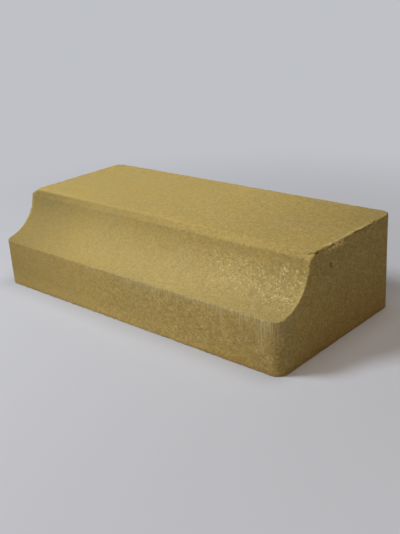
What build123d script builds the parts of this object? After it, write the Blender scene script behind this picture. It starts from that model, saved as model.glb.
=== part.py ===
"""Shaped facing brick: one solid pressed brick with a cove along its top front edge.

Millimetres, +Z up. The brick lies on its bed, as it is laid in a wall. Its length
runs along X, its shaped face looks towards -Y, and the origin is in the middle of
the underside.
"""

import os
from math import asin, degrees

from build123d import *

os.makedirs("parts", exist_ok=True)

# Format of the brick
LENGTH = 250.0
WIDTH = 120.0
HEIGHT = 63.5

# Cove: a quarter round hollow, struck from the line where the top would have met
# the front. It starts level at the lip and climbs to the strip below the top.
COVE_RADIUS = 30.0

# Strip: the slightly sloping land between the cove and the flat top
STRIP_WIDTH = 7.2
STRIP_DROP = 2.3

# Rounding of the strip's two edges: the nose over the cove, the soft one at the top
NOSE_RADIUS = 2.5
SHOULDER_RADIUS = 6.0

# Upright corners of the mould, and the slight rounding of every other arris
CORNER_RADIUS = 7.5
ARRIS_RADIUS = 0.6

front = -WIDTH / 2
back = WIDTH / 2

# The cove stops short of a full quarter turn, at the strip's foot, a drop below the top
cove_sweep = 90 - degrees(asin(STRIP_DROP / COVE_RADIUS))

with BuildPart() as facing_brick:
    # Section across the brick, drawn from the underside's front edge upwards
    with BuildSketch(Plane.YZ) as section:
        with BuildLine():
            lip = Line((front, 0), (front, HEIGHT - COVE_RADIUS))
            cove = CenterArc((front, HEIGHT), COVE_RADIUS, -90, cove_sweep)
            strip = Line(cove @ 1, cove @ 1 + Vector(STRIP_WIDTH, STRIP_DROP))
            Polyline(strip @ 1, (back, HEIGHT), (back, 0), lip @ 0)
        make_face()
        nose = section.vertices().sort_by_distance(strip @ 0)[0]
        fillet(nose, NOSE_RADIUS)
        shoulder = section.vertices().sort_by_distance(strip @ 1)[0]
        fillet(shoulder, SHOULDER_RADIUS)
    extrude(amount=LENGTH / 2, both=True)

    # Upright corners: two short ones beside the lip, two full height at the back
    fillet(facing_brick.edges().filter_by(Axis.Z), CORNER_RADIUS)

    # Arrises: from the outline of each end the rounding runs on, round the upright
    # corners, along both beds and along the lip
    uprights = facing_brick.edges().filter_by(Axis.Z)
    arrises = facing_brick.faces().filter_by(Axis.X).edges() - uprights
    fillet(arrises, ARRIS_RADIUS)

facing_brick.part.label = "facing_brick"
export_step(facing_brick.part, "parts/facing_brick.step")
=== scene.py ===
"""Looks of the shaped facing brick: one pressed brick with a cove along its top front edge.

Metres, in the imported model's frame: the brick lies on the floor at z = 0, with its length
along X and its shaped face towards -Y. The brick is one closed skin, a ring across the
brick carried from end to end. Its surface marks are cut inwards from the true outline, so
that the skin never stands outside the model's box. The marks alone are in millimetres.
"""

import logging
from collections.abc import Callable
from dataclasses import dataclass
from enum import Enum
from functools import partial
from math import asin, atan2, cos, hypot, pi, radians, sin, sqrt
from typing import Any

import bpy
import numpy as np
from mathutils import Matrix, Vector


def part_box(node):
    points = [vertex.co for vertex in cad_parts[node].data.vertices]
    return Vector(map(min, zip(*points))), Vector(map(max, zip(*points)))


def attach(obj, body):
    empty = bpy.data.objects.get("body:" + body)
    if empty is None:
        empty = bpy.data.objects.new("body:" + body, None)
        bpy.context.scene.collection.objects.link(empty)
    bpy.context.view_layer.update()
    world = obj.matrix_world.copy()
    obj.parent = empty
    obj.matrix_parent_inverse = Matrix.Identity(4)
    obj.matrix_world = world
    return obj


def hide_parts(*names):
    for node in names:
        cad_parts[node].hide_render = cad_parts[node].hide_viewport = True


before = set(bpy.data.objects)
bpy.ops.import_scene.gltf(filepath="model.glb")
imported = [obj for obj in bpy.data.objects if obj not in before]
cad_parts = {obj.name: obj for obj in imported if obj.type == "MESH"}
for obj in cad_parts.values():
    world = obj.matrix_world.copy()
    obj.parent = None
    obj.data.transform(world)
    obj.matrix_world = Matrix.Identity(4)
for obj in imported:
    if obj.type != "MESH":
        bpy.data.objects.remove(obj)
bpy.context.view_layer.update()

MM = 0.001
NODE = "facing_brick"
BODY = "root"
SMOOTH = {"interpolation_type": "SMOOTHSTEP"}

Array = np.ndarray
Socket = bpy.types.NodeSocket
Outputs = bpy.types.NodeOutputs
AddNode = Callable[..., Outputs]
log = logging.getLogger(NODE)


def linear(hex_colour: str) -> tuple[float, float, float, float]:
    """Turns an sRGB colour into the linear values that the shaders take.

    Args:
        hex_colour: six hex digits after a hash, such as "#b19e62".

    Returns:
        Linear red, green and blue, and an alpha of 1.
    """
    coded = np.array([int(hex_colour[start : start + 2], 16) for start in (1, 3, 5)]) / 255
    plain = np.where(coded <= 0.04045, coded / 12.92, ((coded + 0.055) / 1.055) ** 2.4)
    return (*plain.tolist(), 1.0)


def step(value: Array, low: float | Array, high: float | Array) -> Array:
    """Smooth step: 3t^2 - 2t^3 of the share t of the way from low to high, held at 0 and 1.

    Args:
        value: numbers to grade.
        low: where the step starts. It may be the larger of the two, for a falling step.
        high: where the step ends.

    Returns:
        Shares from 0 to 1.
    """
    share = np.clip((value - low) / (high - low), 0.0, 1.0)
    return share * share * (3 - 2 * share)


def between(count: int, crowding: float) -> Array:
    """Shares of the way along a run, without its ends: t - c sin(2 pi t) / 2 pi.

    Args:
        count: how many steps the run is divided into.
        crowding: c, how much shorter than average the steps at both ends are, 0 to 1.

    Returns:
        One share fewer than there are steps.
    """
    share = np.arange(1, count) / count
    return share - crowding * np.sin(2 * pi * share) / (2 * pi)


def add_node(tree: bpy.types.NodeTree, kind: str, links: dict[str, Any], **settings: Any) -> Outputs:
    """Adds one shader node with its settings and links.

    Args:
        tree: node tree to add it to.
        kind: Blender's name of the node, without the leading ShaderNode.
        links: what each input takes, by the input's identifier: a socket or a plain value.
        **settings: the node's own properties.

    Returns:
        The new node's outputs.
    """
    node = tree.nodes.new("ShaderNode" + kind)
    for name, value in settings.items():
        setattr(node, name, value)
    sockets = {socket.identifier: socket for socket in node.inputs}
    for name, value in links.items():
        if isinstance(value, Socket):
            tree.links.new(value, sockets[name])
        else:
            sockets[name].default_value = value
    return node.outputs


def seen_as_backdrop(node: AddNode) -> Socket:
    """Tells the rays that show a backdrop from those that light the brick.

    Args:
        node: adds a node.

    Returns:
        Socket that is 1 for camera, glossy and transmission rays, and 0 for the others.
    """
    rays = node("LightPath", {})
    direct = {"Value": rays["Is Camera Ray"], "Value_001": rays["Is Glossy Ray"]}
    reflected = node("Math", direct, operation="MAXIMUM")[0]
    through = {"Value": reflected, "Value_001": rays["Is Transmission Ray"]}
    return node("Math", through, operation="MAXIMUM")[0]


@dataclass(frozen=True)
class Noise:
    """Smooth random field in millimetres: values on a lattice, blended in each cell by smooth steps."""

    cell: float
    seed: int
    stretch: tuple[float, float, float] = (1.0, 1.0, 1.0)
    turned: bool = True
    lattice: int = 128

    def at(self, places: Array) -> Array:
        """Samples the field: each place's eight lattice values, weighted by nearness and added.

        Where it is turned, the places are first turned about a slanting axis, so that the
        lattice doesn't line up with the faces.

        Args:
            places: points in millimetres, one a row.

        Returns:
            Values from -1 to 1, one for each place.
        """
        scaled = places / (self.cell * np.array(self.stretch))
        if self.turned:
            scaled = scaled @ np.array(Matrix.Rotation(0.7, 3, Vector((0.36, 0.48, 0.8))))
        values = np.random.default_rng(self.seed).uniform(-1.0, 1.0, (self.lattice,) * 3)
        cell = np.floor(scaled).astype(int)
        near = step(scaled - cell, 0.0, 1.0)
        total = np.zeros(len(scaled))
        for corner in np.ndindex(2, 2, 2):
            weight = np.prod(np.where(np.array(corner) == 1, near, 1 - near), axis=1)
            total += weight * values[tuple(((cell + corner) % self.lattice).T)]
        return total


@dataclass(frozen=True)
class Tongue:
    """A place along the face where the dragged film reaches further down, in millimetres."""

    place: float
    extra: float
    spread: float

    def at(self, x: Array) -> Array:
        """Length to add: extra times exp(-q^2), where q is distance over spread."""
        return self.extra * np.exp(-(((x - self.place) / self.spread) ** 2))


@dataclass(frozen=True)
class Scoop:
    """A bite out of the surface: a dished hollow that follows a line, in millimetres."""

    start: tuple[float, float, float]
    end: tuple[float, float, float]
    reach: float
    depth: float

    def cut(self, points: Array) -> Array:
        """Depth of the hollow: depth times (1 - q^2)^2, where q is distance over reach.

        Args:
            points: points in millimetres, one a row.

        Returns:
            Depth to cut at each point, in millimetres.
        """
        start, run = np.array(self.start), np.array(self.end) - self.start
        along = np.clip((points - start) @ run / (run @ run), 0.0, 1.0)
        distance = np.linalg.norm(points - start - along[:, None] * run, axis=1)
        share = np.clip(1 - (distance / self.reach) ** 2, 0.0, 1.0)
        return self.depth * share**2


class Side(Enum):
    """The surfaces that bound the brick; the wall is the upright one all the way round."""

    WALL = 0
    COVE = 1
    STRIP = 2
    TOP = 3
    UNDERSIDE = 4


@dataclass(frozen=True)
class Places:
    """Points of the skin, and how deep each lies below each side's true surface.

    Millimetres: points one a row, depths by point and side.
    """

    points: Array
    depths: Array

    def below(self, side: Side) -> Array:
        """Depth of each point below one side."""
        return self.depths[:, side.value]

    def on(self, side: Side) -> Array:
        """How far each point belongs to a side: 1 within 0.2 mm of it, 0 from 1.2 mm on."""
        return step(self.below(side), 1.2, 0.2)


@dataclass(frozen=True)
class PressedBrick:
    """Pressed brick: crushed stone and ochre pigment, pressed nearly dry and left unglazed.

    It gives the eye a dull mustard body coloured all through, faintly clouded and grained
    like sandstone, pale sand and pinholes where the mould dragged the skin open, a greyish
    film in streaks below the lip, and an orange-brown foot where it lay on its pallet.
    """

    body: str = "#b19e62"
    warm: str = "#b49c50"
    cool: str = "#a69b6a"
    ochre: str = "#ab7f30"
    sand: str = "#ddd3a0"
    pinhole: str = "#78622c"
    film: str = "#cbc394"
    foot: str = "#a8782f"
    # Painted shade in the bites, laid on the more deeply they cut
    shade_in_bites: str = "#6d5828"

    roughness: float = 0.94
    ior: float = 1.5
    sheen_level: float = 0.2

    # The sand is 0.2 to 1 mm; it is drawn at the coarse end, to show in the render
    cloud_size: float = 22 * MM
    blotch_size: float = 4.5 * MM
    grain_size: float = 1.15 * MM
    sand_size: float = 1.2 * MM
    dust_size: float = 0.6 * MM
    waver: float = 0.9 * MM
    streak_width: float = 0.5 * MM
    streak_length: float = 16 * MM
    relief: float = 0.2 * MM

    # Shares: the plain body over its clouds, dust and blotches beside the cells' own shades,
    # and how strong pinholes and scores are drawn
    plainness: float = 0.78
    dust_share: float = 1.6
    blotch_share: float = 0.35
    pinhole_share: float = 0.35
    score_share: float = 0.3

    def clouded(self, node: AddNode, place: Socket) -> Socket:
        """Body: two near shades in soft clouds, mostly covered by the plain body colour.

        Args:
            node: adds a node.
            place: place on the brick.

        Returns:
            Colour.
        """
        clouds = node("TexNoise", {"Vector": place, "Scale": 1 / self.cloud_size, "Detail": 3.0})
        share = node("MapRange", {"Value": clouds[0], "From Min": 0.3, "From Max": 0.7})[0]
        shades = {"Factor_Float": share, "A_Color": linear(self.warm), "B_Color": linear(self.cool)}
        colour = node("Mix", shades, data_type="RGBA")[2]
        evened = {"Factor_Float": self.plainness, "A_Color": colour, "B_Color": linear(self.body)}
        return node("Mix", evened, data_type="RGBA")[2]

    def wavering(self, node: AddNode, place: Socket) -> Socket:
        """Places that waver by a fine noise, so that cells laid out on them come out ragged.

        Args:
            node: adds a node.
            place: place on the brick.

        Returns:
            Wavering place.
        """
        stir = node("TexNoise", {"Vector": place, "Scale": 1 / self.sand_size, "Detail": 1.0})
        moved = {"Vector": stir["Color"], "Vector_001": (self.waver,) * 3, "Vector_002": place}
        return node("VectorMath", moved, operation="MULTIPLY_ADD")["Vector"]

    def grained(
        self, node: AddNode, place: Socket, ragged: Socket, blotches: Socket, marks: dict[str, Socket]
    ) -> tuple[Socket, Socket]:
        """Body with grain of every size, stronger where the skin is open.

        Each Voronoi cell has a shade of its own and some are ochre, with coarser blotches
        and finer dust over them. Their sum, less its mean, swings the tone up and down.

        Args:
            node: adds a node.
            place: place on the brick.
            ragged: wavering place.
            blotches: coarse noise from 0 to 1.
            marks: what the skin's attributes say.

        Returns:
            Colour, and the fine part of the grain.
        """
        cells = node("TexVoronoi", {"Vector": ragged, "Scale": 1 / self.grain_size})
        lots = node("SeparateColor", {"Color": cells["Color"]})
        dust = node("TexNoise", {"Vector": place, "Scale": 1 / self.dust_size, "Detail": 2.0})[0]
        dusted = {"Value": dust, "Value_001": self.dust_share, "Value_002": lots[0]}
        speckle = node("Math", dusted, operation="MULTIPLY_ADD")[0]
        blotched = {"Value": blotches, "Value_001": self.blotch_share, "Value_002": speckle}
        grain = node("Math", blotched, operation="MULTIPLY_ADD")[0]
        mean = 0.5 * (self.dust_share + 1 + self.blotch_share)
        centred = node("Math", {"Value": grain, "Value_001": mean}, operation="SUBTRACT")[0]
        range_of_swing = {"From Max": 0.6, "To Min": 0.04, "To Max": 0.42}
        swing = node("MapRange", {"Value": marks["grit"], **range_of_swing})[0]
        # The lightness swung about here holds painted light and shade along the faces, besides the body's own
        # drift
        swung = {"Value": centred, "Value_001": swing, "Value_002": marks["tone_and_shade"]}
        shade = node("Math", swung, operation="MULTIPLY_ADD")[0]

        drawn_by_lot = {"From Min": 0.7, "From Max": 1.0, "To Max": 0.4}
        chosen = node("MapRange", {"Value": lots[2], **drawn_by_lot})[0]
        share = node("Math", {"Value": chosen, "Value_001": marks["grit"]}, operation="MULTIPLY")[0]
        colour = self.clouded(node, place)
        spotted = {"Factor_Float": share, "A_Color": colour, "B_Color": linear(self.ochre)}
        colour = node("Mix", spotted, data_type="RGBA")[2]
        shaded = node("VectorMath", {"Vector": colour, "Scale": shade}, operation="SCALE")
        return shaded["Vector"], speckle

    def sand_grains(self, node: AddNode, ragged: Socket, blotches: Socket, sand: Socket) -> Socket:
        """Sand in clusters: a dot to a cell, in the cells drawn by lot, each of its own size.

        Args:
            node: adds a node.
            ragged: wavering place.
            blotches: coarse noise from 0 to 1, which gathers the grains.
            sand: how sandy the skin is.

        Returns:
            Strength from 0 to 1.
        """
        cells = node("TexVoronoi", {"Vector": ragged, "Scale": 1 / self.sand_size})
        lots = node("SeparateColor", {"Color": cells["Color"]})
        size = node("MapRange", {"Value": lots[0], "To Min": 0.3, "To Max": 0.8})[0]
        reached = {"Value": cells["Distance"], "Value_001": size}
        reach = node("Math", reached, operation="DIVIDE")[0]
        dot = node("MapRange", {"Value": reach, "From Min": 1.0, "From Max": 0.3}, **SMOOTH)[0]
        gathered = {"From Min": 0.4, "From Max": 0.62, "To Min": -0.25, "To Max": 0.1}
        cluster = node("MapRange", {"Value": blotches, **gathered})[0]
        open_here = node("Math", {"Value": sand, "Value_001": cluster}, operation="ADD")[0]
        bar = node("MapRange", {"Value": open_here, "From Min": 0.4, "To Min": 1.0, "To Max": 0.2})[0]
        over = node("Math", {"Value": lots[1], "Value_001": bar}, operation="SUBTRACT")[0]
        drawn = node("MapRange", {"Value": over, "From Max": 0.4})[0]
        return node("Math", {"Value": dot, "Value_001": drawn}, operation="MULTIPLY")[0]

    def pinholes(self, node: AddNode, ragged: Socket, grit: Socket) -> Socket:
        """Pinholes between the grains, where the skin is open.

        Args:
            node: adds a node.
            ragged: wavering place.
            grit: how open the skin is.

        Returns:
            Strength from 0 to 1.
        """
        field = node("TexNoise", {"Vector": ragged, "Scale": 1 / self.sand_size, "Detail": 1.0})[0]
        hollow = node("MapRange", {"Value": field, "From Min": 0.54, "From Max": 0.7}, **SMOOTH)[0]
        return node("Math", {"Value": hollow, "Value_001": grit}, operation="MULTIPLY")[0]

    def dragged(self, node: AddNode, place: Socket, film: Socket) -> tuple[Socket, Socket]:
        """Film dragged down below the lip: narrow upright streaks where thick, even where thin.

        The streaks' width is measured aslant, half way between X and Y, so that they run
        down the front and the ends alike.

        Args:
            node: adds a node.
            place: place on the brick.
            film: how thick the film lies.

        Returns:
            Strengths of the film in its streaks and of the scores between them.
        """
        slant = {"Rotation": (0.0, 0.0, radians(45)), "Scale": (self.streak_width, 1.0, self.streak_length)}
        drawn_out = node("Mapping", {"Vector": place, **slant}, vector_type="TEXTURE")[0]
        streaks = node("TexNoise", {"Vector": drawn_out, "Scale": 1.0, "Detail": 2.0})[0]
        line = node("MapRange", {"Value": streaks, "From Min": 0.42, "From Max": 0.58}, **SMOOTH)[0]
        fading = {"From Min": 0.15, "From Max": 0.35, "To Min": 1.0, "To Max": 0.2}
        thin = node("MapRange", {"Value": film, **fading})[0]
        cover = node("Math", {"Value": line, "Value_001": thin}, operation="MAXIMUM")[0]
        streaked = node("Math", {"Value": film, "Value_001": cover}, operation="MULTIPLY")[0]
        bare = node("Math", {"Value": film, "Value_001": streaked}, operation="SUBTRACT")[0]
        scored = node("Math", {"Value": bare, "Value_001": self.score_share}, operation="MULTIPLY")[0]
        return streaked, scored

    def bumped(
        self, node: AddNode, speckle: Socket, grains: Socket, holes: Socket, grit: Socket
    ) -> Socket:
        """Relief too fine for the skin: grain everywhere, sand stands up and pinholes go down.

        Args:
            node: adds a node.
            speckle: fine part of the grain.
            grains: sand grains.
            holes: pinholes.
            grit: how open the skin is.

        Returns:
            Facing of the surface.
        """
        rough = node("MapRange", {"Value": grit, "To Min": 0.15, "To Max": 0.45})[0]
        fine = node("Math", {"Value": speckle, "Value_001": rough}, operation="MULTIPLY")[0]
        coarse = node("Math", {"Value": grains, "Value_001": holes}, operation="SUBTRACT")[0]
        height = node("Math", {"Value": fine, "Value_001": coarse}, operation="ADD")[0]
        return node("Bump", {"Height": height, "Strength": 1.0, "Distance": self.relief})[0]

    def build(self) -> bpy.types.Material:
        """Makes the material. It reads the skin's attributes grit, sand, tone, film, foot and bite.

        Returns:
            The finished material.
        """
        material = bpy.data.materials.new("pressed_brick")
        material.use_nodes = True
        material.node_tree.nodes.clear()
        node = partial(add_node, material.node_tree)
        place = node("TexCoord", {})["Object"]
        marks = {
            name: node("Attribute", {}, attribute_name=name)["Fac"]
            for name in ("grit", "sand", "tone_and_shade", "film", "foot", "bite")
        }
        ragged = self.wavering(node, place)
        coarse = {"Vector": place, "Scale": 1 / self.blotch_size, "Detail": 2.0}
        blotches = node("TexNoise", coarse)[0]

        colour, speckle = self.grained(node, place, ragged, blotches, marks)
        grains = self.sand_grains(node, ragged, blotches, marks["sand"])
        holes = self.pinholes(node, ragged, marks["grit"])
        weakened = {"Value": holes, "Value_001": self.pinhole_share}
        faint = node("Math", weakened, operation="MULTIPLY")[0]
        streaked, scored = self.dragged(node, place, marks["film"])
        layers = (
            (grains, self.sand),
            (faint, self.pinhole),
            (scored, self.pinhole),
            (streaked, self.film),
            (marks["foot"], self.foot),
            (marks["bite"], self.shade_in_bites),
        )
        for share, tint in layers:
            layer = {"Factor_Float": share, "A_Color": colour, "B_Color": linear(tint)}
            colour = node("Mix", layer, data_type="RGBA")[2]

        surface = {
            "Base Color": colour,
            "Roughness": self.roughness,
            "IOR": self.ior,
            "Specular IOR Level": self.sheen_level,
            "Normal": self.bumped(node, speckle, grains, holes, marks["grit"]),
        }
        shader = node("BsdfPrincipled", surface)
        node("OutputMaterial", {"Surface": shader["BSDF"]})
        return material


@dataclass(frozen=True)
class Marks:
    """What pressing and handling left on the brick: how strong each mark is at each place.

    Millimetres throughout, in the brick's own frame, and angles in degrees. Left and right
    are as one looks at the shaped face.
    """

    half_length: float
    half_width: float
    height: float

    tongues: tuple[Tongue, ...] = (
        Tongue(113, 15, 3.2),
        Tongue(98, 9, 2.4),
        Tongue(121, 9, 3.0),
        Tongue(84, 5, 2.0),
    )

    # Bites read off the right-hand end: notches along its top arris, a pore, and where the
    # strip ends a chipped arris with a short crack running in from it
    bites: tuple[Scoop, ...] = (
        Scoop((125.0, 17.0, 63.5), (125.0, 18.2, 63.5), 1.3, 0.8),
        Scoop((125.0, 38.0, 63.5), (125.0, 38.8, 63.5), 1.2, 0.5),
        Scoop((124.6, 2.6, 63.5), (124.9, 3.6, 63.5), 1.3, 0.7),
        Scoop((125.0, -7.4, 63.5), (124.6, -6.2, 63.5), 1.2, 0.6),
        Scoop((125.0, -9.2, 51.2), (125.0, -9.0, 50.4), 1.4, 1.3),
        Scoop((125.2, -24.4, 62.8), (125.0, -21.8, 63.5), 1.4, 1.2),
        Scoop((120.9, -26.0, 62.6), (124.4, -23.8, 63.2), 0.9, 1.0),
    )

    def drag(self, places: Places) -> Array:
        """Film that the mould dragged down from the lip, longest near the right-hand corner.

        It fades out over a length below the lip that changes from streak to streak, with
        longer tongues near the corner, and it wraps a little way round onto the end. A thin
        film of it lies in the cove too, thickest low down and close to the lip.

        Args:
            places: places on the skin.

        Returns:
            Strength from 0 to 1.
        """
        x, y, z = places.points.T
        below = places.below(Side.COVE)
        along = places.points * (1.0, 1.0, 0.0)
        on_end = step(x, self.half_length - 4, self.half_length)
        length = 3.5 + 5 * step(Noise(5, 31).at(along), -0.5, 0.8) + 4 * on_end
        length = length * (1 + 0.7 * Noise(1.3, 32).at(along))
        for tongue in self.tongues:
            length = length + tongue.at(x)
        fading = 1 - np.clip(below / length, 0, 1)
        on_wall = step(places.below(Side.WALL), 0.8, 0.1) * step(y, -32, -54)
        from_left = step(x, -60, 30)
        wall = fading**0.7 * on_wall * from_left * (below > -1) * (0.95 - 0.6 * on_end)
        in_cove = step(np.abs(below), 1.2, 0.2) * (1 - on_wall)
        by_lip = step(x, 60, 90) * step(x, 118, 108) * step(y, -54, -59)
        cove = 0.04 + 0.12 * from_left * step(z, 54, 38) + 0.25 * by_lip
        return np.maximum(wall, in_cove * cove)

    def openness(self, places: Places) -> tuple[Array, Array]:
        """How open and how sandy the skin is: most in a patch of the upper cove near the right.

        Both grow from left to right. The patch is bounded by the angle about the cove's axis,
        from straight down. Specks of sand are spread over the right half of the wall and the
        far right of the cove.

        Args:
            places: places on the skin.

        Returns:
            Openness and sandiness, both from 0 to 1.
        """
        x, y, z = places.points.T
        angle = np.degrees(np.arctan2(y + self.half_width, self.height - z))
        drift = 0.5 + 0.5 * Noise(14, 41).at(places.points)
        to_right, far_right = step(x, -100, 50), step(x, 85, 120)
        in_cove = places.on(Side.COVE)
        level = np.maximum(places.on(Side.TOP), places.on(Side.STRIP))
        upright = places.on(Side.WALL) * (1 - level)
        patch = in_cove * step(x, 38, 72) * step(angle, 14, 34) * step(angle, 84, 60)
        by_side = [
            in_cove * (0.12 + 0.2 * to_right + 0.1 * drift + 0.05 * far_right) + 0.12 * patch,
            upright * (0.2 + 0.32 * to_right + 0.12 * drift),
            level * (0.1 + 0.26 * to_right + 0.08 * drift),
            0.3 * places.on(Side.UNDERSIDE),
        ]
        grit = np.clip(np.maximum.reduce(by_side), 0, 1)
        specks = 0.12 * upright * step(x, 0, 80) + 0.07 * in_cove * far_right
        return grit, np.clip(grit + specks + patch * (0.25 + 0.4 * drift), 0, 1)

    def tone_and_shade(self, places: Places) -> Array:
        """How light the body is, about 1: a faint drift, and painted light and shade along the faces.

        The drift is there as the pressed mix was not even. The rest is painted light and shade,
        where the lamps reach a face more or less: the front is darker at both ends and lighter
        along the foot, the top is darker to the right and towards the back, the strip to the
        left, and the cove at its right foot and its left end.

        Args:
            places: places on the skin.

        Returns:
            Factor for the body's colour.
        """
        x, y, z = places.points.T
        on_end = step(np.abs(x), self.half_length - 4, self.half_length)
        on_top = places.on(Side.TOP)
        on_strip = places.on(Side.STRIP) * (1 - on_top)
        in_cove = places.on(Side.COVE) * (1 - on_strip)
        in_front = step(y, -(10 + 35 * on_end), -(30 + 28 * on_end)) * (1 - on_top)
        behind = step(y, -20, 50)
        # Painted light and shade, face by face: lighter or darker where the lamps reach a face more or less
        front = -0.26 * step(x, -30, -125) - 0.14 * step(x, 70, 120)
        front = front + 0.12 * step(z, 12, 3) * step(x, 115, 40)
        top = 0.07 - 0.3 * step(x, 5, 130) * (0.6 + 0.4 * behind)
        top = top - 0.05 * step(x, 95, 120) * behind
        strip = -0.17 * step(x, 80, -40) - 0.06 * step(x, -60, -120)
        cove = -0.015 - 0.1 * step(x, 30, 90) * step(z, 42, 35) - 0.08 * step(x, -50, -120)
        drift = 0.02 * Noise(45, 81).at(places.points)
        return 1.07 + drift + in_front * front + on_top * top + on_strip * strip + in_cove * cove

    def burr(self, places: Places) -> tuple[Array, Array, Array]:
        """Rough burr along the front half of the right-hand end's top arris.

        Pale crumbs stand on both sides of the arris, and ticks lie between them on the end: small
        chips, darkened as painted shade. The crumbs on the end are made far lighter than their
        pale colour, a painted highlight on the shaded end. Crumbs and ticks are the two halves of
        one fine noise.

        Args:
            places: places on the skin.

        Returns:
            Strengths from 0 to 1 of the crumbs on the top, the crumbs on the end and the ticks.
        """
        x, y, _ = places.points.T
        half, below = self.half_length, places.below(Side.TOP)
        crumbs = step(Noise(1.2, 33).at(places.points), -0.2, 0.2)
        on_end = step(below, 0.2, 0.7) * step(x, half - 1, half)
        on_top = step(below, 0.5, 0.1) * step(x, half - 3, half - 1.6)
        rim = crumbs * on_top * step(y, 38, 28) * step(y, -18, -12)
        flecks = crumbs * on_end * step(below, 5.5, 2.5) * step(y, 9, 2) * step(y, -20, -8)
        ticks = (1 - crumbs) * on_end * step(below, 2, 1) * step(y, 40, 30)
        return rim, flecks, ticks

    def foot_stain(self, places: Places) -> Array:
        """Orange-brown stain rising from the foot: a patchy band, and a faint haze above it.

        The haze lies on the wall more than on the rest, and most on the lower part of the ends.

        Args:
            places: places on the skin.

        Returns:
            Strength from 0 to 1.
        """
        x, y, z = places.points.T
        patches = 0.5 + 0.5 * Noise(9, 71).at(places.points)
        on_end = step(np.abs(x), self.half_length - 3, self.half_length)
        band = step(z, 3.5, 0.3) * (0.3 * patches + 0.25 * step(x, 40, 125)) * (1 - 0.5 * on_end)
        low_on_end = step(z, 52, 4) * step(y, -60, -25)
        haze = 0.02 + 0.1 * places.on(Side.WALL) + on_end * (0.02 + 0.18 * low_on_end)
        off_floor = step(places.below(Side.UNDERSIDE), 0.0, 0.5)
        return np.clip(band + haze, 0, 1) * off_floor

    def pressing(self, places: Places, grit: Array) -> Array:
        """Slow unevenness of the pressing and its grain, both less where the brick stands.

        Args:
            places: places on the skin.
            grit: how open the skin is. The grain is coarser where it is open.

        Returns:
            Depth to cut.
        """
        points = places.points
        slow = 0.07 * (1 + Noise(38, 11).at(points)) + 0.03 * (1 + Noise(9, 12).at(points))
        grain = 0.5 * (1 + Noise(1.7, 21).at(points)) + 0.25 * (1 + Noise(3.6, 22).at(points))
        on_floor = step(places.below(Side.UNDERSIDE), 0.8, 0.1)
        return (slow + grain * (0.03 + 0.17 * grit)) * (1 - 0.7 * on_floor)

    def chipping(self, places: Places, ticks: Array) -> Array:
        """Worn and chipped arrises, most ragged along the upper arris of the right-hand end.

        A place's distance from the nearest arris is the middle one of its depths below the
        wall, the upper surfaces together and the underside.

        Args:
            places: places on the skin.
            ticks: ticks of the burr, which are chips too.

        Returns:
            Depth to cut.
        """
        upper = places.depths[:, [Side.COVE.value, Side.STRIP.value, Side.TOP.value]].min(axis=1)
        around = np.stack([places.below(Side.WALL), upper, places.below(Side.UNDERSIDE)])
        from_arris = np.sort(around, axis=0)[1]
        near_end = step(places.points[:, 0], self.half_length - 7, self.half_length - 1)
        ragged = near_end * step(upper, 6, 2)
        chips = step(Noise(2.2, 61).at(places.points), 0.0, 0.7)
        return (0.05 + (0.4 + 0.5 * ragged) * chips + 0.5 * ticks) * step(from_arris, 1.3, 0.0)

    def gather(self, places: Places) -> tuple[Array, dict[str, Array]]:
        """All marks together: how deep they cut, and what the finish has to know of them.

        Args:
            places: places on the skin.

        Returns:
            Depth to cut at each place, and strengths by the name of their attribute.
        """
        grit, sand = self.openness(places)
        rim, flecks, ticks = self.burr(places)
        film = np.maximum(self.drag(places), 0.9 * rim + 0.5 * flecks)
        scores = 0.5 + 0.5 * Noise(1.3, 51, (1.0, 1.0, 14.0), turned=False).at(places.points)
        bitten = sum(bite.cut(places.points) for bite in self.bites)
        depth = self.pressing(places, grit) + self.chipping(places, ticks) + 0.12 * film * scores + bitten
        looks = {
            "grit": grit,
            "sand": sand,
            # The crumbs on the end are made far lighter than their pale colour, a painted highlight on the
            # shaded end, and the ticks are darkened as painted shade in the chips
            "tone_and_shade": self.tone_and_shade(places) + 0.55 * rim + 1.4 * flecks - 0.4 * ticks,
            "film": 0.9 * film,
            "foot": self.foot_stain(places),
            # Bites darken the more deeply they cut: painted shade in the hollows
            "bite": np.clip(bitten / 1.2, 0, 0.8),
        }
        return depth, looks


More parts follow.
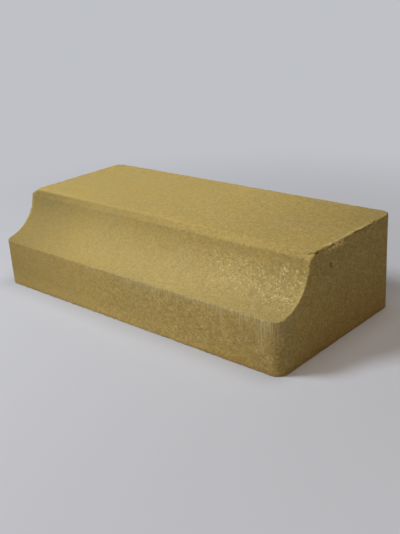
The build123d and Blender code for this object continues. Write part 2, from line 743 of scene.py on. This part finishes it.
@dataclass(frozen=True)
class FacingBrick:
    """The brick's skin, worked out from its section, and its dressing."""

    length: float
    width: float
    height: float
    finish: PressedBrick = PressedBrick()

    cove_radius: float = 30 * MM
    strip_width: float = 7.2 * MM
    strip_drop: float = 2.3 * MM
    nose_radius: float = 2.5 * MM
    shoulder_radius: float = 6 * MM
    corner_radius: float = 7.5 * MM
    arris_radius: float = 0.6 * MM

    # Rings: even along the middle, by equal turns round the upright corners and the arris
    ring_step: float = 0.95 * MM
    corner_rings: int = 11
    arris_rings: int = 4
    arris_rest: float = radians(12)

    # Flat rings of an end: the middle they close in on, across and up, and how fast they do
    end_rings: int = 24
    end_middle: tuple[float, float] = (10 * MM, 30 * MM)
    end_power: float = 1.35

    # Points of a ring on each stretch: crowded towards the arrises, sparse where hidden
    lip_steps: int = 40
    cove_steps: int = 56
    nose_steps: int = 7
    strip_steps: int = 10
    shoulder_steps: int = 3
    top_steps: int = 110
    back_steps: int = 22
    underside_steps: int = 30
    arris_steps: int = 4
    crowding: float = 0.4

    # How far in from an arris the surfaces on both sides of it still lean together
    blend: float = 1.5 * MM

    def strip_foot(self) -> Array:
        """Where the strip would meet the cove: on the cove's circle, a drop below the top."""
        out = sqrt(self.cove_radius**2 - self.strip_drop**2)
        return np.array([out - self.width / 2, self.height - self.strip_drop])

    def strip_way(self) -> Array:
        """The way up the strip, across and up, of length 1."""
        return np.array([self.strip_width, self.strip_drop]) / hypot(self.strip_width, self.strip_drop)

    def strip_facing(self) -> Array:
        """The way the strip looks, across and up: its way turned a quarter to the left."""
        along = self.strip_way()
        return np.array([-along[1], along[0]])

    def nose_centre(self) -> Array:
        """Centre of the nose: its radius below the strip and its radius outside the cove's circle.

        From a point that far below the strip's foot it lies s up the strip's way, where s
        solves |q + s w| = cove radius + nose radius for q measured from the cove's axis.

        Returns:
            Place across and up.
        """
        along = self.strip_way()
        below = self.strip_foot() - self.nose_radius * self.strip_facing()
        arm = below - np.array([-self.width / 2, self.height])
        lean = arm @ along
        far = self.cove_radius + self.nose_radius
        return below + along * (sqrt(lean**2 - arm @ arm + far**2) - lean)

    def shoulder_centre(self) -> Array:
        """Centre of the shoulder: its radius below both the strip and the top.

        It lies below the corner of strip and top by its radius, square to the strip, and is
        slid along the strip until it is as far below the top.

        Returns:
            Place across and up.
        """
        along, facing = self.strip_way(), self.strip_facing()
        crest = self.strip_foot() + np.array([self.strip_width, self.strip_drop])
        slide = self.shoulder_radius * (facing[1] - 1) / along[1]
        return crest - self.shoulder_radius * facing + slide * along

    def stations(self) -> tuple[Array, Array]:
        """Places of the rings along X, and how far each has rolled over the end's arris.

        Round an upright corner the ring is at corner radius x (1 - sin turn) from the end, and
        round the arris at arris radius x (1 - cos roll). The roll is a quarter turn before
        the arris and falls to the rest angle, just short of the flat end.

        Returns:
            Places x and rolls, a column each.
        """
        half = self.length / 2
        turn = np.linspace(0, asin(1 - self.arris_radius / self.corner_radius), self.corner_rings)
        roll = np.linspace(pi / 2, self.arris_rest, self.arris_rings + 1)[1:]
        end = half - np.concatenate(
            [self.corner_radius * (1 - np.sin(turn)), self.arris_radius * (1 - np.cos(roll))]
        )
        rolls = np.concatenate([np.full(len(turn), pi / 2), roll])
        steps = round((self.length - 2 * self.corner_radius) / self.ring_step)
        middle = np.linspace(-end[0], end[0], steps + 1)[1:-1]
        x = np.concatenate([-end[::-1], middle, end])
        rolls = np.concatenate([rolls[::-1], np.full(len(middle), pi / 2), rolls])
        return x[:, None], rolls[:, None]

    def arris(self, x: Array, roll: Array) -> tuple[Array, Array]:
        """The rounding between the wall and a flat bed, where a ring crosses it.

        A point at angle a over the rounding is swept round the upright corner on a circle of
        radius r = corner radius - arris radius x (1 - cos a). The ring at x meets it where
        the sine of the turn is (x - corner's start) / r.

        Args:
            x: places of the rings, a column.
            roll: their rolls, a column.

        Returns:
            Distance from the middle plane, and depth below the bed, from the wall inwards.
        """
        angle = roll * np.linspace(0, 1, self.arris_steps + 1)
        sweep = self.corner_radius - self.arris_radius * (1 - np.cos(angle))
        start = self.length / 2 - self.corner_radius
        turn = np.clip((np.abs(x) - start) / sweep, 0, 1)
        reach = self.width / 2 - self.corner_radius + sweep * np.sqrt(1 - turn**2)
        return reach, self.arris_radius * (1 - np.sin(angle))

    def rings(self) -> Array:
        """The rings from end to end: lip, cove, nose, strip, shoulder, top, back, underside.

        The cove is an arc of the cove radius about the missing edge of front and top, the
        nose and the shoulder are arcs about their centres, and the rest are straight runs.
        Where a ring rolls over the end's arris, every surface but the wall moves in by
        arris radius x (1 - sin roll): the cove's radius grows, the other two shrink.

        Returns:
            Points, by ring, by place round the ring, by coordinate.
        """
        x, roll = self.stations()
        inset = self.arris_radius * (1 - np.sin(roll))
        reach, rise = self.arris(x, roll)
        half, top = self.width / 2, self.height
        lip = top - np.sqrt((self.cove_radius + rise) ** 2 - (half - reach) ** 2)
        wall, inner = reach[:, :1], reach[:, -1:]

        share = between(self.lip_steps, self.crowding)
        front = (-wall + 0 * share, self.arris_radius + (lip[:, :1] - self.arris_radius) * share)

        radius = self.cove_radius + inset
        nose = self.nose_centre()
        low, high = np.arcsin((half - inner) / radius), atan2(nose[0] + half, top - nose[1])
        angle = low + (high - low) * between(self.cove_steps, self.crowding)
        cove = (radius * np.sin(angle) - half, top - radius * np.cos(angle))

        facing = atan2(self.strip_facing()[1], self.strip_facing()[0])
        angle = np.linspace(atan2(top - nose[1], -half - nose[0]), facing, self.nose_steps + 1)
        radius = self.nose_radius - inset
        nose_arc = (nose[0] + radius * np.cos(angle), nose[1] + radius * np.sin(angle))

        crest = self.shoulder_centre()
        angle = np.linspace(facing, pi / 2, self.shoulder_steps + 1)
        radius = self.shoulder_radius - inset
        crest_arc = (crest[0] + radius * np.cos(angle), crest[1] + radius * np.sin(angle))

        share = between(self.strip_steps, 0)
        strip = tuple(
            before[:, -1:] + (after[:, :1] - before[:, -1:]) * share
            for before, after in zip(nose_arc, crest_arc)
        )
        share = between(self.top_steps, self.crowding)
        start = crest_arc[0][:, -1:]
        flat = (start + (inner - start) * share, top - inset + 0 * share)
        share = between(self.back_steps, self.crowding)
        high, low = top - self.arris_radius, self.arris_radius
        back = (wall + 0 * share, high + (low - high) * share + 0 * x)
        share = between(self.underside_steps, self.crowding)
        under = (inner - 2 * inner * share, inset + 0 * share)

        stretches = (
            front,
            (-reach, lip),
            cove,
            nose_arc,
            strip,
            crest_arc,
            flat,
            (reach[:, ::-1], top - rise[:, ::-1]),
            back,
            (reach, rise + 0 * x),
            under,
            (-reach[:, ::-1], rise[:, ::-1] + 0 * x),
        )
        across, up = (np.concatenate(parts, axis=1) for parts in zip(*stretches))
        return np.stack([np.broadcast_to(x, across.shape), across, up], axis=2)

    def skin(self) -> tuple[Array, Array, Array]:
        """The closed skin: the rings, and at each end flat rings that close in on a middle point.

        A flat ring is the end's outline moved towards the middle by a share of the way that
        grows as a power of its number, so the flat rings are closest at the outline.

        Returns:
            Points, one a row, and corner numbers of the quads and of the closing triangles.
        """
        rings = self.rings()
        count = rings.shape[1]
        half = self.length / 2
        share = (np.arange(1, self.end_rings) / self.end_rings)[:, None, None] ** self.end_power
        right_middle = np.array([half, *self.end_middle])
        left_middle = right_middle * (-1, 1, 1)
        right = rings[-1] + (right_middle - rings[-1]) * share
        left = rings[0] + (left_middle - rings[0]) * share
        right[:, :, 0], left[:, :, 0] = half, -half
        rows = np.concatenate([left[::-1], rings, right])
        points = np.vstack([rows.reshape(-1, 3), left_middle, right_middle])

        here = np.arange(len(rows) * count).reshape(len(rows), count)
        beside = np.roll(here, -1, axis=1)
        quads = np.stack([here[:-1], here[1:], beside[1:], beside[:-1]], axis=2).reshape(-1, 4)
        poles = np.full(count, len(points) - 2), np.full(count, len(points) - 1)
        closing = np.vstack(
            [np.stack([poles[0], here[0], beside[0]], 1), np.stack([poles[1], beside[-1], here[-1]], 1)]
        )
        return points, quads, closing

    def surroundings(self, points: Array) -> tuple[Array, Array]:
        """Depth of each point below each surface, and the way that surface looks there.

        The wall's depth is measured from the rounded outline of the plan, the cove's from its
        circle, and the others' from their planes.

        Args:
            points: places, one a row.

        Returns:
            Depths by point and side, and facings by point, side and coordinate.
        """
        _, y, z = points.T
        depths = np.empty((len(points), len(Side)))
        facings = np.zeros((len(points), len(Side), 3))

        over = np.abs(points[:, :2]) - (np.array([self.length, self.width]) / 2 - self.corner_radius)
        outside = np.maximum(over, 0)
        flat = np.where(over == over.max(axis=1, keepdims=True), 1.0, 0.0)
        size = np.linalg.norm(outside, axis=1)
        depths[:, Side.WALL.value] = self.corner_radius - size - np.minimum(over.max(axis=1), 0)
        round_way = outside / np.maximum(size, 1e-9)[:, None]
        way = np.where((size > 0)[:, None], round_way, flat)
        facings[:, Side.WALL.value, :2] = way * np.sign(points[:, :2])

        arm = np.stack([y + self.width / 2, z - self.height], axis=1)
        size = np.maximum(np.linalg.norm(arm, axis=1), 1e-9)
        depths[:, Side.COVE.value] = size - self.cove_radius
        facings[:, Side.COVE.value, 1:] = -arm / size[:, None]

        facing = self.strip_facing()
        depths[:, Side.STRIP.value] = (self.strip_foot() - points[:, 1:]) @ facing
        facings[:, Side.STRIP.value, 1:] = facing
        depths[:, Side.TOP.value] = self.height - z
        facings[:, Side.TOP.value, 2] = 1
        depths[:, Side.UNDERSIDE.value] = z
        facings[:, Side.UNDERSIDE.value, 2] = -1
        return depths, facings

    def inwards(self, depths: Array, facings: Array) -> Array:
        """The way into the brick: against the facings' mean, weighted by exp(-depth / blend).

        Near an arris the surfaces on both sides of it count, so arrises wear back evenly.

        Args:
            depths: depths by point and side.
            facings: facings by point, side and coordinate.

        Returns:
            Ways of length 1, one a row.
        """
        weights = np.exp(-np.maximum(depths, 0) / self.blend)
        way = -np.einsum("ps,psc->pc", weights, facings)
        return way / np.linalg.norm(way, axis=1, keepdims=True)

    def build(self) -> bpy.types.Object:
        """Makes the skin, cuts the marks into it and dresses it.

        Returns:
            The brick.
        """
        points, quads, closing = self.skin()
        depths, facings = self.surroundings(points)
        marks = Marks(self.length / 2 / MM, self.width / 2 / MM, self.height / MM)
        cut, looks = marks.gather(Places(points / MM, depths / MM))
        points = points + self.inwards(depths, facings) * (cut * MM)[:, None]

        skin = bpy.data.meshes.new("pressed_facing_brick")
        skin.from_pydata(points.tolist(), [], [*quads.tolist(), *closing.tolist()])
        for name, values in looks.items():
            layer = skin.attributes.new(name, "FLOAT", "POINT")
            layer.data.foreach_set("value", values.astype(np.float32))
        skin.shade_smooth()
        skin.update()
        brick = bpy.data.objects.new("pressed_facing_brick", skin)
        bpy.context.scene.collection.objects.link(brick)
        skin.materials.append(self.finish.build())
        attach(brick, BODY)
        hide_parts(NODE)
        return brick


@dataclass(frozen=True)
class Lamp:
    """A round soft lamp aimed at the brick."""

    name: str
    bearing: float
    rise: float
    distance: float
    size: float
    share: float
    colour: str

    def hang(self) -> None:
        """Hangs the lamp by bearing, anticlockwise from +X, and rise, both in degrees.

        Light of power P falls on a face square to it at distance d as P / (pi d^2), and a
        matt face shows its own colour where that is pi, so the power is share x pi^2 d^2.
        """
        level = cos(radians(self.rise))
        bearing = radians(self.bearing)
        way = Vector((cos(bearing) * level, sin(bearing) * level, sin(radians(self.rise))))
        lamp = bpy.data.lights.new(self.name, "AREA")
        lamp.shape = "DISK"
        lamp.size = self.size
        lamp.energy = self.share * (pi * self.distance) ** 2
        lamp.color = linear(self.colour)[:3]
        holder = bpy.data.objects.new(self.name, lamp)
        holder.location = way * self.distance
        holder.rotation_euler = way.to_track_quat("Z", "Y").to_euler()
        bpy.context.scene.collection.objects.link(holder)


@dataclass(frozen=True)
class Studio:
    """Pale floor, soft lamps, a dim room and the camera."""

    floor_colour: str = "#cbd0dc"
    far_colour: str = "#bfc1c6"
    floor_size: float = 14.0

    # Distances from the brick's middle between which the floor turns into the backdrop
    lit_within: float = 0.15
    even_beyond: float = 0.45

    # The main lamp stands to the left of the camera; the others lighten what it leaves dark
    lamps: tuple[Lamp, ...] = (
        Lamp("main_lamp", 226, 50, 1.2, 0.4, 0.63, "#f9fdff"),
        Lamp("top_lamp", 55, 79, 1.2, 0.7, 0.27, "#fff6ea"),
        Lamp("front_lamp", 292, 36, 1.4, 0.7, 0.15, "#ffdcb2"),
    )
    room_colour: str = "#ffe2bc"
    room_light: float = 0.06

    # Camera fitted to the photograph's outline of the brick
    eye: tuple[float, float, float] = (351.476 * MM, -361.65 * MM, 218.026 * MM)
    bearing: float = radians(43.021)
    fall: float = radians(21.609)
    roll: float = radians(-3.642)
    lens: float = 52.766

    def lay_floor(self) -> bpy.types.Object:
        """Lays the floor: a flat square about the brick.

        Returns:
            The floor.
        """
        half = self.floor_size / 2
        corners = np.array([(-1, -1, 0), (1, -1, 0), (1, 1, 0), (-1, 1, 0)]) * half
        sheet = bpy.data.meshes.new("floor")
        sheet.from_pydata(corners.tolist(), [], [(0, 1, 2, 3)])
        floor = bpy.data.objects.new("floor", sheet)
        bpy.context.scene.collection.objects.link(floor)
        sheet.materials.append(self.floor_finish())
        return floor

    def floor_finish(self) -> bpy.types.Material:
        """Matt pale sheet. Far from the brick it shows its own colour, as an evenly lit one would.

        Returns:
            The finished material.
        """
        material = bpy.data.materials.new("matt_pale_sheet")
        material.use_nodes = True
        material.node_tree.nodes.clear()
        node = partial(add_node, material.node_tree)
        place = node("TexCoord", {})["Object"]
        away = node("VectorMath", {"Vector": place}, operation="LENGTH")["Value"]
        reach = {"Value": away, "From Min": self.lit_within, "From Max": self.even_beyond}
        far = node("MapRange", reach, **SMOOTH)[0]
        seen = seen_as_backdrop(node)
        share = node("Math", {"Value": far, "Value_001": seen}, operation="MULTIPLY")[0]
        lit = node("BsdfDiffuse", {"Color": linear(self.floor_colour)})[0]
        even = node("Emission", {"Color": linear(self.far_colour)})[0]
        both = node("MixShader", {"Fac": share, "Shader": lit, "Shader_001": even})
        node("OutputMaterial", {"Surface": both[0]})
        return material

    def light(self) -> None:
        """Hangs the lamps and sets the room: dim where it lights, pale where it is seen."""
        for lamp in self.lamps:
            lamp.hang()
        world = bpy.data.worlds.new("room")
        world.use_nodes = True
        world.node_tree.nodes.clear()
        node = partial(add_node, world.node_tree)
        room = node("Background", {"Color": linear(self.room_colour), "Strength": self.room_light})
        backdrop = node("Background", {"Color": linear(self.far_colour), "Strength": 1.0})
        shares = {"Fac": seen_as_backdrop(node), "Shader": room[0], "Shader_001": backdrop[0]}
        both = node("MixShader", shares)
        node("OutputWorld", {"Surface": both[0]})
        bpy.context.scene.world = world

    def set_camera(self) -> None:
        """Puts the camera where the photograph was taken from.

        Its back points from the brick to the eye by bearing and fall, its right lies level,
        and both right and up are then turned about the back by the roll.
        """
        level = cos(self.fall)
        back = Vector((sin(self.bearing) * level, -cos(self.bearing) * level, sin(self.fall)))
        right = Vector((cos(self.bearing), sin(self.bearing), 0.0))
        up = back.cross(right)
        turned_right = cos(self.roll) * right + sin(self.roll) * up
        turned_up = cos(self.roll) * up - sin(self.roll) * right
        camera = bpy.data.cameras.new("camera")
        camera.lens = self.lens
        camera.clip_start = 0.01
        holder = bpy.data.objects.new("camera", camera)
        turn = Matrix((turned_right, turned_up, back)).transposed().to_4x4()
        holder.matrix_world = Matrix.Translation(self.eye) @ turn
        bpy.context.scene.collection.objects.link(holder)
        bpy.context.scene.camera = holder

    def build(self) -> None:
        """Sets up floor, light, camera and plain colours."""
        self.lay_floor()
        self.light()
        self.set_camera()
        bpy.context.scene.view_settings.view_transform = "Standard"


def main() -> None:
    """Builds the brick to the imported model's size, then the studio."""
    low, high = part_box(NODE)
    brick = FacingBrick(*(high - low)).build()
    mesh = brick.data
    log.info("%s: %d points, %d faces, rides on %s", brick.name, len(mesh.vertices), len(mesh.polygons), BODY)
    Studio().build()


if __name__ == "__main__":
    logging.basicConfig(level=logging.INFO)
    main()
